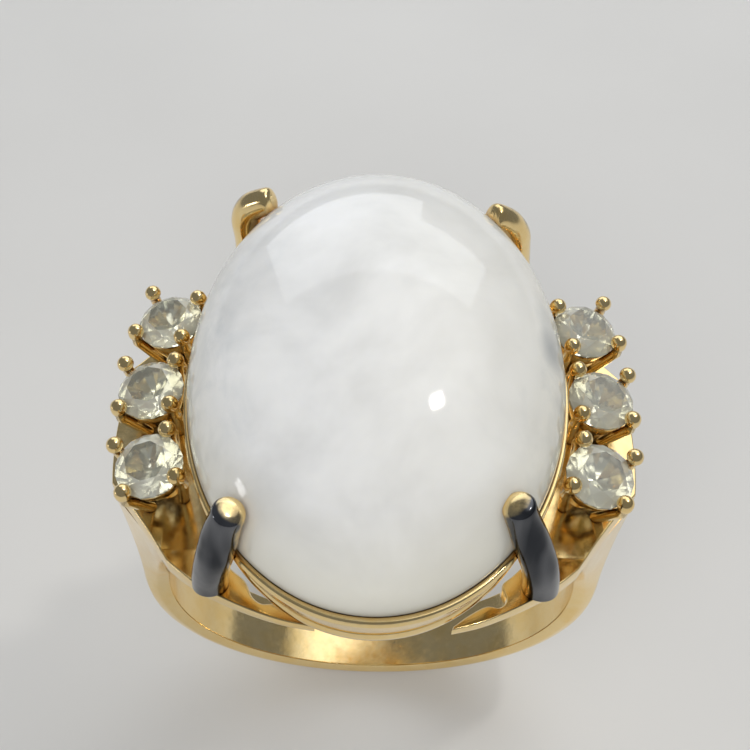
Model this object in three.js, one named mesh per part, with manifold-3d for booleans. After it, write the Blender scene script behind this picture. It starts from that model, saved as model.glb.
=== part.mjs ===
// A gold-plated cocktail ring: an oval cabochon in a four-claw gallery setting, with a row of three
// round accent stones in wire baskets on each shoulder.
//
// Units are millimetres. The origin is the centre of the finger hole, +Z points to the stone, the
// finger lies along Y, and +X is the right shoulder. The left side mirrors the right one, but for the
// claws and the arms, which were bent by hand.

import * as THREE from "three";
import { mergeVertices } from "three/addons/utils/BufferGeometryUtils.js";
import Module from "manifold-3d";

const wasm = await Module();
wasm.setup();

// ---------------------------------------------------------------- driving dimensions

const SEAM = 0.03; // solder seam or setting clearance between two pieces

// Band and finger hole
const FINGER_RADIUS = 8.65; // 17.3 mm inside diameter, US size 7
const BAND_THICKNESS = 1.35;
const BAND_RADIUS = FINGER_RADIUS + BAND_THICKNESS;
const FLAT_STRIP = 0.25; // share of the band's outer face that is flat, along its middle
const PALM_HALF_WIDTH = 1.35;
const SIDE_HALF_WIDTH = 1.7; // half the band's width level with the finger's centre
const SHOULDER_INNER_X = 5.7; // the shoulder's inner end stands clear of the gallery well
const SHOULDER_OUTER_X = 9.5;

// Oval stone: an 18 x 13 mm cabochon
const GIRDLE_Z = 13.2;
const STONE_A = 6.5; // half width, along X
const STONE_B = 9.0; // half length, along Y
const DOME_HEIGHT = 4.48;
const STONE_BASE_DEPTH = 0.6;
const STONE_BASE_RATIO = 0.95; // the base is a little smaller than the girdle
const DOME_FULLNESS = 2.08; // superellipse exponent of the dome's profile

// Seat rail, which carries the stone, and the wire rail below it: semi-axes along X and Y
const SEAT_A = 6.67;
const SEAT_B = 9.28;
const SEAT_TAPER = 0.25; // the rail is this much smaller all round at its lower edge
const SEAT_LEDGE = 1.2; // how far the ledge reaches in under the stone
const SEAT_LEDGE_TOP = GIRDLE_Z - STONE_BASE_DEPTH - SEAM;
const SEAT_BOTTOM = SEAT_LEDGE_TOP - 0.5;
const SEAT_RIM_TOP = GIRDLE_Z - 0.08;
const WIRE_RAIL_A = 6.36;
const WIRE_RAIL_B = 8.9;
const WIRE_RAIL_WIDTH = 0.5;
const WIRE_RAIL_HEIGHT = 0.45;
const WIRE_RAIL_TOP = SEAT_BOTTOM - 0.45;

// Shoulder plate with its front and back arms
const PLATE_TOP = 10.1;
const PLATE_THICKNESS = 0.9;
const SHOULDER_TOP = PLATE_TOP - PLATE_THICKNESS - SEAM;
const ARM_START_Y = 5.2; // from here the arms climb towards the wire rail
const ARM_TIP_TOP = WIRE_RAIL_TOP - WIRE_RAIL_HEIGHT - SEAM;
const ARM_TIP_Y = 8.42;
const ARM_TIP_THICKNESS = 0.4;
// The outer and inner edge of each side's arms, which were bent by hand, as [x, y] on the right
const ARMS = {
  right: {
    outer: [[6.35, 6.3], [5.5, 6.95], [4.5, 7.58], [3.5, 8.1], [2.55, ARM_TIP_Y]],
    inner: [[2.6, 8.27], [3.1, 7.82], [3.7, 7.42], [4.15, 7.44], [4.4, 7.1], [4.3, 6.5], [4.75, 6]],
  },
  left: {
    outer: [[6.35, 6.3], [5.5, 6.95], [4.2, 7.66], [2.95, 8.16], [1.8, ARM_TIP_Y]],
    inner: [[1.86, 8.26], [2.4, 7.86], [3.05, 7.5], [3.55, 7.5], [3.9, 7.2], [4.2, 6.55], [4.75, 6]],
  },
};
const CUSP = new THREE.Vector2(6.98, 5.7);
const OUTER_CORNER = new THREE.Vector2(9.32, 2.6);
const SCALLOP_PULL = new THREE.Vector2(7.95, 4.15); // control point of the scooped edge

// Claws that hold the oval stone. Each is bent by hand: its way, as [height above the girdle, x, y]
// of its centre for the claw at the right back, which the others mirror.
const CLAW_RADIUS = 0.6;
const CLAW_TIP_RADIUS = 0.52;
const CLAW_TOP = GIRDLE_Z + 2.35;
const CLAW_WAYS = {
  front_left: [
    [-3.2, 5.3, 6.72], [-2.3, 5.3, 6.72], [-1, 5.1, 6.9], [0, 4.88, 6.98], [0.65, 4.72, 6.91],
    [1.5, 4.49, 6.82], [2.4, 4.2, 6.7],
  ],
  front_right: [
    [-3.2, 5.54, 6.6], [-2.4, 5.54, 6.6], [-1.1, 5.34, 6.66], [0, 5.01, 6.56],
    [1.15, 4.56, 6.36], [2.4, 4.24, 6.22],
  ],
  back_left: [
    [-3.2, 5.3, 6.75], [-1.2, 5.06, 7], [-0.3, 5.03, 7.02], [0.6, 5.08, 7.04],
    [1.3, 4.78, 6.92], [1.8, 4.4, 6.76], [2.4, 4, 6.6],
  ],
  back_right: [
    [-3.2, 5.5, 6.55], [-1.2, 5.32, 6.68], [0, 5.2, 6.66], [0.6, 5.1, 6.6],
    [1.3, 4.73, 6.45], [1.9, 4.2, 6.24], [2.4, 3.98, 6.15],
  ],
};

// Accent stones: 2.4 mm round brilliants, whose axes tilt (in degrees) outwards and to the front
const ACCENT_RADIUS = 1.2;
const ACCENT_TABLE_RADIUS = 0.66;
const ACCENT_CROWN = 0.4;
const ACCENT_HALF_GIRDLE = 0.04;
const ACCENT_PAVILION = 0.95;
const ACCENT_GIRDLE_Z = 12.0;
const ACCENT_ROW = [
  { row: "front", x: 7.65, y: -3.1, turn: -15, forward: 8 },
  { row: "middle", x: 8.03, y: 0.1, turn: 0, forward: 4 },
  { row: "back", x: 7.75, y: 3.3, turn: 13, forward: 2 },
];
const ACCENT_OUTWARD = 9;

// Wire baskets of the accent stones
const WIRE_RADIUS = 0.2;
const BEAD_RADIUS = 0.3;
const BEAD_REACH = 1.3; // from the accent stone's axis to the bead's centre
const BEAD_RISE = 0.45; // the bead's centre above the accent girdle
const WIRE_REACH = ACCENT_RADIUS + WIRE_RADIUS + SEAM;
const FOOT_REACH = 0.82; // from the accent stone's axis to the wire's foot
const COLLET_TOP = -0.17; // heights from the accent girdle
const COLLET_BOTTOM = -0.85;
const AZURE_RADIUS = 0.5; // light hole under each accent stone

// ---------------------------------------------------------------- materials

const gold = new THREE.MeshStandardMaterial({ color: 0xd6ad5a, roughness: 0.24, metalness: 1 });
const milkStone = new THREE.MeshStandardMaterial({ color: 0xe2e2e0, roughness: 0.12, metalness: 0 });
const clearStone = new THREE.MeshStandardMaterial({ color: 0xe6e8d8, roughness: 0.05, metalness: 0 });

// ---------------------------------------------------------------- helpers

// Moves every vertex of a geometry by a rule.
function reshape(geometry, rule) {
  const position = geometry.getAttribute("position");
  const v = new THREE.Vector3();
  for (let i = 0; i < position.count; i++) {
    v.fromBufferAttribute(position, i);
    rule(v);
    position.setXYZ(i, v.x, v.y, v.z);
  }
  return geometry;
}

// A closed geometry as a solid that can be cut or joined.
function toSolid(geometry) {
  const bare = geometry.clone();
  bare.deleteAttribute("normal");
  bare.deleteAttribute("uv");
  const merged = mergeVertices(bare, 1e-4);
  return new wasm.Manifold(
    new wasm.Mesh({
      numProp: 3,
      vertProperties: merged.attributes.position.array,
      triVerts: new Uint32Array(merged.index.array),
    }),
  );
}

function toGeometry(body) {
  const mesh = body.getMesh();
  return new THREE.BufferGeometry()
    .setAttribute("position", new THREE.BufferAttribute(mesh.vertProperties, 3))
    .setIndex(new THREE.BufferAttribute(mesh.triVerts, 1));
}

// A turned shape standing on Z from a profile of [radius, height] pairs, listed upwards.
function turned(profile, segments) {
  const points = profile.map(([r, z]) => new THREE.Vector2(r, z));
  return new THREE.LatheGeometry(points, segments).rotateX(Math.PI / 2);
}

// A flat outline extruded upwards from z = bottom to z = top.
function extruded(shape, bottom, top, curveSegments = 12) {
  const settings = { depth: top - bottom, bevelEnabled: false, curveSegments };
  return new THREE.ExtrudeGeometry(shape, settings).translate(0, 0, bottom);
}

function ellipseShape(a, b, holeA, holeB) {
  const shape = new THREE.Shape().absellipse(0, 0, a, b, 0, 2 * Math.PI);
  shape.holes.push(new THREE.Path().absellipse(0, 0, holeA, holeB, 0, 2 * Math.PI));
  return shape;
}

// A solid through a row of closed sections with the same number of points, capped at both ends.
// outline gives the flat outline of a section, anticlockwise when it is seen from the start.
function lofted(sections, outline) {
  const n = sections[0].length;
  const positions = sections.flat().flatMap((p) => [p.x, p.y, p.z]);
  const index = [];
  for (let s = 0; s + 1 < sections.length; s++) {
    for (let i = 0; i < n; i++) {
      const a = s * n + i;
      const b = s * n + ((i + 1) % n);
      index.push(a, a + n, b, b, a + n, b + n);
    }
  }
  const last = (sections.length - 1) * n;
  for (const [a, b, c] of THREE.ShapeUtils.triangulateShape(outline(0), []))
    index.push(a, b, c);
  for (const [a, b, c] of THREE.ShapeUtils.triangulateShape(outline(sections.length - 1), []))
    index.push(last + c, last + b, last + a);
  return new THREE.BufferGeometry()
    .setAttribute("position", new THREE.Float32BufferAttribute(positions, 3))
    .setIndex(index);
}

const mix = THREE.MathUtils.lerp;
const ease = THREE.MathUtils.smoothstep;

const ring = new THREE.Group();
function addPiece(name, geometry, material) {
  const mesh = new THREE.Mesh(geometry, material);
  mesh.name = name;
  ring.add(mesh);
  return mesh;
}

// ---------------------------------------------------------------- oval cabochon

function domeProfile(steps) {
  const profile = [];
  for (let i = 0; i <= steps; i++) {
    const t = (i / steps) * (Math.PI / 2);
    const radius = Math.cos(t) ** (2 / DOME_FULLNESS);
    profile.push([i === steps ? 0 : radius, Math.sin(t) ** (2 / DOME_FULLNESS) * DOME_HEIGHT]);
  }
  return profile;
}

function cabochon(clearance = 0) {
  const profile = [[0, -STONE_BASE_DEPTH], [STONE_BASE_RATIO, -STONE_BASE_DEPTH], ...domeProfile(12)];
  return reshape(turned(profile, 56), (v) => {
    v.x *= STONE_A + clearance;
    v.y *= STONE_B + clearance;
    v.z = v.z * (1 + clearance / DOME_HEIGHT) + GIRDLE_Z;
  });
}

addPiece("oval_cabochon", cabochon(), milkStone);

// ---------------------------------------------------------------- gallery rails

// The seat rail is a ledge that the stone's base rests on, with a thin rim around its girdle.
function seatRail(clearance = 0) {
  const a = SEAT_A + clearance;
  const b = SEAT_B + clearance;
  const outside = new THREE.Shape().absellipse(0, 0, a, b, 0, 2 * Math.PI);
  const block = reshape(extruded(outside, SEAT_BOTTOM, SEAT_RIM_TOP, 32), (v) => {
    if (v.z > SEAT_LEDGE_TOP) return;
    v.x *= 1 - SEAT_TAPER / a;
    v.y *= 1 - SEAT_TAPER / b;
  });
  const bore = new THREE.Shape();
  bore.absellipse(0, 0, STONE_A - SEAT_LEDGE, STONE_B - SEAT_LEDGE, 0, 2 * Math.PI);
  const recess = new THREE.Shape();
  recess.absellipse(0, 0, STONE_A + SEAM, STONE_B + SEAM, 0, 2 * Math.PI);
  return toSolid(block)
    .subtract(toSolid(extruded(bore, SEAT_BOTTOM - 1, SEAT_RIM_TOP + 1, 26)))
    .subtract(toSolid(extruded(recess, SEAT_LEDGE_TOP, SEAT_RIM_TOP + 1, 32)));
}

function wireRail() {
  const holeA = WIRE_RAIL_A - WIRE_RAIL_WIDTH;
  const holeB = WIRE_RAIL_B - WIRE_RAIL_WIDTH;
  const shape = ellipseShape(WIRE_RAIL_A, WIRE_RAIL_B, holeA, holeB);
  return extruded(shape, WIRE_RAIL_TOP - WIRE_RAIL_HEIGHT, WIRE_RAIL_TOP, 30);
}

addPiece("seat_rail", toGeometry(seatRail()), gold);
addPiece("gallery_wire_rail", wireRail(), gold);

// ---------------------------------------------------------------- shank

// Half of the shank's section, from the flat strip along the middle of its outer face round to its
// inner corner, as [depth from the outer face, half width]. Above the finger's centre it opens into
// the scooped outline of the shoulder.
function halfSection(shape) {
  const points = [];
  for (const share of [0, 0.33, 0.67, 1])
    points.push([shape.crown * share ** 2, shape.outer * mix(FLAT_STRIP, 1, share)]);
  const edge = new THREE.QuadraticBezierCurve(
    new THREE.Vector2(shape.crown, shape.outer),
    new THREE.Vector2(mix(shape.crown, shape.cuspDepth, 0.5), mix(shape.outer, shape.cusp, shape.scoop)),
    new THREE.Vector2(shape.cuspDepth, shape.cusp),
  );
  for (const p of edge.getPoints(5).slice(1)) points.push([p.x, p.y]);
  points.push([shape.depth, shape.inner]);
  return points;
}

// The whole section as a closed outline.
function fullSection(shape) {
  const half = halfSection(shape);
  return [...half.map(([depth, width]) => [depth, -width]), ...half.reverse()];
}

// The section's sizes below the finger's centre, where angle runs from 0 at the side to 90
// degrees at the palm.
function bandShape(angle) {
  const share = Math.sin(angle) ** 2;
  const width = mix(SIDE_HALF_WIDTH, PALM_HALF_WIDTH, share);
  return {
    crown: mix(0.35, 0.45, share),
    outer: width * 0.88,
    cusp: width,
    cuspDepth: BAND_THICKNESS * 0.6,
    scoop: 0.8,
    depth: BAND_THICKNESS,
    inner: width * 0.96,
  };
}

// The section's sizes at height z above the finger's centre.
function shoulderShape(z) {
  const share = z / SHOULDER_TOP;
  const opening = share ** 1.7;
  const outerX = mix(BAND_RADIUS, SHOULDER_OUTER_X, share);
  const innerX = Math.max(Math.sqrt(Math.max(FINGER_RADIUS ** 2 - z ** 2, 0)), SHOULDER_INNER_X);
  const low = bandShape(0);
  return {
    outerX,
    crown: mix(low.crown, 0.13, share),
    outer: mix(low.outer, OUTER_CORNER.y, opening),
    cusp: mix(low.cusp, CUSP.y - 0.1, opening),
    cuspDepth: mix(low.cuspDepth, outerX - CUSP.x, opening),
    scoop: mix(low.scoop, 0.42, opening),
    depth: outerX - innerX,
    inner: mix(low.inner, 4.9, opening),
  };
}

function shank() {
  const outlines = [];
  const sections = [];
  const shoulderSteps = 12;
  const bandSteps = 29; // an odd number, so that a flat facet lies at the palm
  const station = (shape, place) => {
    const section = fullSection(shape);
    outlines.push(section.map(([depth, width]) => new THREE.Vector2(depth, width)));
    sections.push(section.map(([depth, width]) => place(depth, width)));
  };
  const shoulder = (side, z) => {
    const shape = shoulderShape(z);
    station(shape, (depth, y) => new THREE.Vector3(side * (shape.outerX - depth), y, z));
  };
  for (let i = shoulderSteps; i > 0; i--) shoulder(-1, (SHOULDER_TOP * i) / shoulderSteps);
  for (let i = 0; i <= bandSteps; i++) {
    const around = (Math.PI * i) / bandSteps;
    const angle = Math.min(around, Math.PI - around);
    const place = (depth, y) => {
      const radius = BAND_RADIUS - depth;
      return new THREE.Vector3(-radius * Math.cos(around), y, -radius * Math.sin(around));
    };
    station(bandShape(angle), place);
  }
  for (let i = 1; i <= shoulderSteps; i++) shoulder(1, (SHOULDER_TOP * i) / shoulderSteps);
  return lofted(sections, (i) => outlines[i]);
}

// The tilt of an accent basket, which stands square to it.
function basketTilt(side, forward) {
  const [front, out] = [forward, side * ACCENT_OUTWARD].map(THREE.MathUtils.degToRad);
  return new THREE.Euler(front, out, 0, "YXZ");
}

// Light holes under the three accent stones of one side. Each starts under its basket and leans in
// towards the middle of the shoulder, so that it comes out inside the finger hole.
function azureHoles(side) {
  const holes = ACCENT_ROW.map(({ x, y, forward }) => {
    const axis = new THREE.Vector3(0, 0, 1).applyEuler(basketTilt(side, forward));
    const drop = ACCENT_GIRDLE_Z - PLATE_TOP;
    const top = new THREE.Vector3(side * x, y, ACCENT_GIRDLE_Z).addScaledVector(axis, -drop);
    const low = new THREE.Vector3(top.x - side * 0.2, top.y * 0.62, 2.5);
    top.z += 1;
    const along = new THREE.Vector3().subVectors(top, low);
    const hole = new THREE.CylinderGeometry(AZURE_RADIUS, AZURE_RADIUS, along.length(), 14);
    const turn = new THREE.Quaternion().setFromUnitVectors(
      new THREE.Vector3(0, 1, 0),
      along.clone().normalize(),
    );
    const middle = top.clone().add(low).multiplyScalar(0.5);
    return toSolid(hole.applyQuaternion(turn).translate(middle.x, middle.y, middle.z));
  });
  return holes[0].add(holes[1]).add(holes[2]);
}

const shankBody = toSolid(shank()).subtract(azureHoles(1)).subtract(azureHoles(-1));
addPiece("shank", toGeometry(shankBody), gold);

// ---------------------------------------------------------------- shoulder plates and arms

// One shoulder plate from above: the scooped edge, its cusps, and an arm at the front and back
// that narrows past the claw and ends in a leaf under the wire rail.
function plateOutline(arm) {
  const outerArm = [[CUSP.x, CUSP.y], ...arm.outer];
  const innerArm = [...arm.inner, [SHOULDER_INNER_X, 4.9]];
  const mirrored = ([x, y]) => new THREE.Vector2(x, -y);
  const plain = ([x, y]) => new THREE.Vector2(x, y);
  const shape = new THREE.Shape();
  shape.moveTo(OUTER_CORNER.x, -OUTER_CORNER.y);
  shape.quadraticCurveTo(SHOULDER_OUTER_X + 0.12, 0, OUTER_CORNER.x, OUTER_CORNER.y);
  shape.quadraticCurveTo(SCALLOP_PULL.x, SCALLOP_PULL.y, CUSP.x, CUSP.y);
  shape.splineThru(outerArm.slice(1).map(plain));
  shape.splineThru(innerArm.map(plain));
  shape.lineTo(SHOULDER_INNER_X, -4.9);
  shape.splineThru([...innerArm].reverse().slice(1).map(mirrored));
  shape.splineThru([...outerArm].reverse().map(mirrored));
  shape.quadraticCurveTo(SCALLOP_PULL.x, -SCALLOP_PULL.y, OUTER_CORNER.x, -OUTER_CORNER.y);
  return shape;
}

// One side's plate, as it would stand on the right. The flat plate is cut at the arms' roots, and the
// arms are tipped up towards the wire rail.
function plateBody(arm, lift = 0) {
  const bottom = PLATE_TOP - PLATE_THICKNESS;
  const flat = toSolid(extruded(plateOutline(arm), bottom, PLATE_TOP, 5));
  const middle = flat
    .trimByPlane([0, -1, 0], -ARM_START_Y)
    .trimByPlane([0, 1, 0], -ARM_START_Y);
  const flatArm = toGeometry(flat.trimByPlane([0, 1, 0], ARM_START_Y - SEAM));
  const risingArm = reshape(flatArm, (v) => {
    const share = Math.max(0, v.y - ARM_START_Y) / (ARM_TIP_Y - ARM_START_Y);
    const top = mix(PLATE_TOP, ARM_TIP_TOP, share);
    const thickness = mix(PLATE_THICKNESS, ARM_TIP_THICKNESS, share);
    v.z = v.z > PLATE_TOP - PLATE_THICKNESS / 2 ? top : top - thickness;
  });
  const backArm = toSolid(risingArm);
  return middle.add(backArm).add(backArm.mirror([0, 1, 0])).translate([0, 0, lift]);
}

const sides = [
  { name: "right", sign: 1 },
  { name: "left", sign: -1 },
];

for (const side of sides) {
  const plate = plateBody(ARMS[side.name]);
  const placed = side.sign > 0 ? plate : plate.mirror([1, 0, 0]);
  const body = placed.subtract(azureHoles(side.sign));
  addPiece(`${side.name}_shoulder_plate`, toGeometry(body), gold);
}

// ---------------------------------------------------------------- oval stone's claws

// A straight, round-ended claw from z = bottom to z = top.
function straightClaw(bottom, top) {
  const shaftTop = top - CLAW_TIP_RADIUS;
  const profile = [[0, bottom]];
  for (let z = bottom; z < shaftTop; z += 0.45)
    profile.push([mix(CLAW_RADIUS, CLAW_TIP_RADIUS, ease(z, GIRDLE_Z, shaftTop)), z]);
  for (let i = 0; i <= 4; i++) {
    const t = (i / 4) * (Math.PI / 2);
    profile.push([i === 4 ? 0 : CLAW_TIP_RADIUS * Math.cos(t), shaftTop + CLAW_TIP_RADIUS * Math.sin(t)]);
  }
  return turned(profile, 14);
}

// The centre at height z of a claw with this way.
function clawCentre(way, z) {
  const rise = z - GIRDLE_Z;
  const next = Math.max(1, way.findIndex(([height]) => height > rise));
  const [low, lowX, lowY] = way[next - 1];
  const [high, highX, highY] = way[next];
  const share = (rise - low) / (high - low);
  return { x: mix(lowX, highX, share), y: mix(lowY, highY, share) };
}

// A claw is notched round the seat rail, and cut to the stone and to its side's arm.
function claw(way, arm, sx, sy) {
  const bent = reshape(straightClaw(PLATE_TOP, CLAW_TOP), (v) => {
    const centre = clawCentre(way, v.z);
    v.x += centre.x;
    v.y += centre.y;
  });
  const pieces = toSolid(bent)
    .subtract(toSolid(cabochon(SEAM)))
    .subtract(seatRail(SEAM))
    .subtract(plateBody(arm, SEAM))
    .decompose();
  let [body] = pieces.sort((a, b) => b.volume() - a.volume());
  if (sx < 0) body = body.mirror([1, 0, 0]);
  if (sy < 0) body = body.mirror([0, 1, 0]);
  return toGeometry(body);
}

for (const side of sides) {
  for (const [end, sy] of [["front", -1], ["back", 1]]) {
    const label = `${end}_${side.name}`;
    addPiece(`${label}_claw`, claw(CLAW_WAYS[label], ARMS[side.name], side.sign, sy), gold);
  }
}

// ---------------------------------------------------------------- accent stones and baskets

const accentStone = turned(
  [
    [0, -ACCENT_HALF_GIRDLE - ACCENT_PAVILION],
    [ACCENT_RADIUS, -ACCENT_HALF_GIRDLE],
    [ACCENT_RADIUS, ACCENT_HALF_GIRDLE],
    [ACCENT_TABLE_RADIUS, ACCENT_HALF_GIRDLE + ACCENT_CROWN],
    [0, ACCENT_HALF_GIRDLE + ACCENT_CROWN],
  ],
  16,
);

// The distance of a basket wire's axis from the stone's axis, at height z from the accent girdle.
const footZ = PLATE_TOP + SEAM - ACCENT_GIRDLE_Z;
const SPARE_FOOT = 0.5; // the wires are made this much too long, and trimmed level with the plate
function wireReach(z) {
  if (z > 0) return mix(WIRE_REACH, BEAD_REACH, Math.min(1, z / BEAD_RISE));
  return mix(WIRE_REACH, FOOT_REACH, z / footZ);
}

// A basket claw before it is bent: a wire with a ball on its end.
function wireClaw() {
  const neck = Math.acos(WIRE_RADIUS / BEAD_RADIUS) * -1;
  const profile = [[0, footZ - SPARE_FOOT]];
  for (const z of [footZ - SPARE_FOOT, footZ / 2, -0.15]) profile.push([WIRE_RADIUS, z]);
  for (let i = 0; i <= 5; i++) {
    const t = mix(neck, Math.PI / 2, i / 5);
    profile.push([i === 5 ? 0 : BEAD_RADIUS * Math.cos(t), BEAD_RISE + BEAD_RADIUS * Math.sin(t)]);
  }
  return reshape(turned(profile, 8), (v) => {
    v.x += wireReach(v.z);
  });
}

// The collet ring sits inside the four wires, under the girdle, and its bore clears the pavilion.
function collet() {
  const outer = (z) => wireReach(z) - WIRE_RADIUS - SEAM;
  const pavilionAtTop = ACCENT_RADIUS * (1 + (COLLET_TOP + ACCENT_HALF_GIRDLE) / ACCENT_PAVILION);
  const bore = pavilionAtTop + 0.02;
  return turned(
    [
      [0.62, COLLET_BOTTOM],
      [outer(COLLET_BOTTOM), COLLET_BOTTOM],
      [outer(COLLET_TOP), COLLET_TOP],
      [bore, COLLET_TOP],
      [0.72, COLLET_TOP - 0.3],
      [0.62, COLLET_BOTTOM],
    ],
    24,
  );
}

const CLAW_NAMES = ["outer_back", "inner_back", "inner_front", "outer_front"];

for (const side of sides) {
  for (const { row, x, y, turn, forward } of ACCENT_ROW) {
    const place = new THREE.Group();
    place.position.set(side.sign * x, y, ACCENT_GIRDLE_Z);
    place.rotation.copy(basketTilt(side.sign, forward));
    place.updateMatrix();
    ring.add(place);
    const label = `${side.name}_${row}`;
    place.add(addPiece(`${label}_accent_stone`, accentStone, clearStone));
    place.add(addPiece(`${label}_collet`, collet(), gold));
    CLAW_NAMES.forEach((corner, i) => {
      const angle = THREE.MathUtils.degToRad(45 + 90 * i + turn);
      const wire = wireClaw()
        .rotateZ(side.sign > 0 ? angle : Math.PI - angle)
        .applyMatrix4(place.matrix);
      const trimmed = toSolid(wire).trimByPlane([0, 0, 1], PLATE_TOP + SEAM);
      addPiece(`${label}_${corner}_bead_claw`, toGeometry(trimmed), gold);
    });
  }
}

export default ring;
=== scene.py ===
"""The looks of a gold-plated cocktail ring, built around its CAD frame.

Every fine piece is made from curves and sections in the ring's own frame: the origin is the centre of
the finger hole, +Z points to the oval stone, and the finger lies along Y. Lengths are in metres; mm()
turns the drawing's millimetres into them.
"""

import math

import bmesh
import bpy
from mathutils import Matrix, Vector


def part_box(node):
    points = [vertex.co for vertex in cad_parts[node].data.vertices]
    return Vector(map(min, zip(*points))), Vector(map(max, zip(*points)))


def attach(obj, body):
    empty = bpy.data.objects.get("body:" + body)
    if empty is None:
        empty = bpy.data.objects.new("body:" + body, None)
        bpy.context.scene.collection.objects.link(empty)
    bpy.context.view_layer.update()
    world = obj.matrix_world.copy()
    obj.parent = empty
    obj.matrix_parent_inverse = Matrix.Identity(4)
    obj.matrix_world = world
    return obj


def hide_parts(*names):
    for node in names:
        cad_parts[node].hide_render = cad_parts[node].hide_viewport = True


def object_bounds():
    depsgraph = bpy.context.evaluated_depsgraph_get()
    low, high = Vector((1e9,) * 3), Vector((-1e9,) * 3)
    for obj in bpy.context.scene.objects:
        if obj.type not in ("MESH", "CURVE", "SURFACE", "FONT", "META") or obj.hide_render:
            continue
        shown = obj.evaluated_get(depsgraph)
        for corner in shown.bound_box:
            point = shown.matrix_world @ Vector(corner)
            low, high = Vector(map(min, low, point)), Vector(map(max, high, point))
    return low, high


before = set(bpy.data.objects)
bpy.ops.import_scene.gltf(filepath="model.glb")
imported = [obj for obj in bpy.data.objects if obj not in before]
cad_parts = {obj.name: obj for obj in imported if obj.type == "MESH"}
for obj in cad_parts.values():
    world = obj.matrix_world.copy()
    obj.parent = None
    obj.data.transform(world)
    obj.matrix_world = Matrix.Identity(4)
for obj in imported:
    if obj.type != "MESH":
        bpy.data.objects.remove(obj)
CAD_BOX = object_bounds()


def mm(value):
    return value * 0.001


# ------------------------------------------------------------------ sizes

SEAM = mm(0.03)  # solder seam or setting clearance between two pieces

# The oval stone, from its CAD box
STONE_LOW, STONE_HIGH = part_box("oval_cabochon")
STONE_A = STONE_HIGH.x
STONE_B = STONE_HIGH.y
STONE_BASE = STONE_LOW.z
STONE_TOP = STONE_HIGH.z
STONE_BASE_DEPTH = mm(0.6)
GIRDLE_Z = STONE_BASE + STONE_BASE_DEPTH
DOME_HEIGHT = STONE_TOP - GIRDLE_Z
DOME_FULLNESS = 2.08
# Its rounded foot under the girdle, as (share of the girdle's size, height above the base in mm)
STONE_FOOT = ((0.90, 0), (0.935, 0.01), (0.952, 0.05), (0.966, 0.14), (0.99, 0.36))

# The seat rail and the wire rail below it
SEAT_LOW, SEAT_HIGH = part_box("seat_rail")
SEAT_A = SEAT_HIGH.x
SEAT_B = SEAT_HIGH.y
SEAT_TAPER = mm(0.25)
SEAT_FOOT_A = SEAT_A - SEAT_TAPER
SEAT_FOOT_B = SEAT_B - SEAT_TAPER
SEAT_LEDGE = mm(1.2)
SEAT_LEDGE_TOP = STONE_BASE - SEAM
WIRE_LOW, WIRE_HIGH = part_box("gallery_wire_rail")
WIRE_RAIL_WIDTH = mm(0.5)

# The band
PALM_Z = CAD_BOX[0].z
FINGER_RADIUS = mm(8.65)
BAND_RADIUS = mm(10)
BAND_THICKNESS = BAND_RADIUS - FINGER_RADIUS
FLAT_STRIP = 0.25  # share of the band's outer face that is flat, along its middle
PALM_HALF_WIDTH = mm(1.35)
SIDE_HALF_WIDTH = mm(1.7)

# The shoulder plates
PLATE_TOP = mm(10.1)
PLATE_THICKNESS = mm(0.9)
SHOULDER_TOP = PLATE_TOP - PLATE_THICKNESS
SHOULDER_INNER_X = mm(5.7)
SHOULDER_INNER_Y = mm(4.9)
SHOULDER_OUTER_X = mm(9.5)
ARM_START_Y = mm(5.2)
ARM_TIP_Y = mm(8.42)
ARM_TIP_TOP = WIRE_LOW.z - SEAM
ARM_TIP_THICKNESS = mm(0.4)
# Each side's arms, which were bent by hand: the outer edge to its tip, and the inner edge back from
# it, in mm as (x, y) on the right
ARMS = {
    "right": {
        "outer": [(6.35, 6.3), (5.5, 6.95), (4.5, 7.58), (3.5, 8.1)],
        "tip_x": 2.55,
        "inner": [(2.6, 8.27), (3.1, 7.82), (3.7, 7.42), (4.15, 7.44),
                  (4.4, 7.1), (4.3, 6.5), (4.75, 6)],
    },
    "left": {
        "outer": [(6.35, 6.3), (5.5, 6.95), (4.2, 7.66), (2.95, 8.16)],
        "tip_x": 1.8,
        "inner": [(1.86, 8.26), (2.4, 7.86), (3.05, 7.5), (3.55, 7.5),
                  (3.9, 7.2), (4.2, 6.55), (4.75, 6)],
    },
}
CUSP = (mm(6.98), mm(5.7))
OUTER_CORNER = (mm(9.32), mm(2.6))
SCALLOP_PULL = (mm(7.95), mm(4.15))  # control point of the scooped edge

# The oval stone's claws, each bent by hand: its way in mm as (height above the girdle, x, y),
# written as if it stood at the right back and mirrored from there into its own corner
CLAW_WAYS = {
    "front_left": [(-3.7, 5.3, 6.72), (-2.3, 5.3, 6.72), (-1, 5.1, 6.9), (0, 4.88, 6.98),
                   (0.65, 4.72, 6.91), (1.5, 4.49, 6.82), (2.2, 4.24, 6.71)],
    "front_right": [(-3.7, 5.54, 6.6), (-2.4, 5.54, 6.6), (-1.1, 5.34, 6.66), (0, 5.01, 6.56),
                    (1.15, 4.56, 6.36), (2.15, 4.27, 6.24)],
    "back_left": [(-3.7, 5.3, 6.75), (-1.2, 5.06, 7), (-0.3, 5.03, 7.02), (0.6, 5.08, 7.04),
                  (1.3, 4.82, 6.94), (1.8, 4.3, 6.72), (1.98, 3.95, 6.57)],
    "back_right": [(-3.7, 5.5, 6.55), (-1.2, 5.32, 6.68), (0, 5.2, 6.66), (0.55, 5.12, 6.62),
                   (1.2, 4.8, 6.48), (1.62, 4.4, 6.32), (1.82, 4.05, 6.18)],
}
CLAW_RADIUS = mm(0.6)
CLAW_NOTCH_GAP = mm(0.02)

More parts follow.
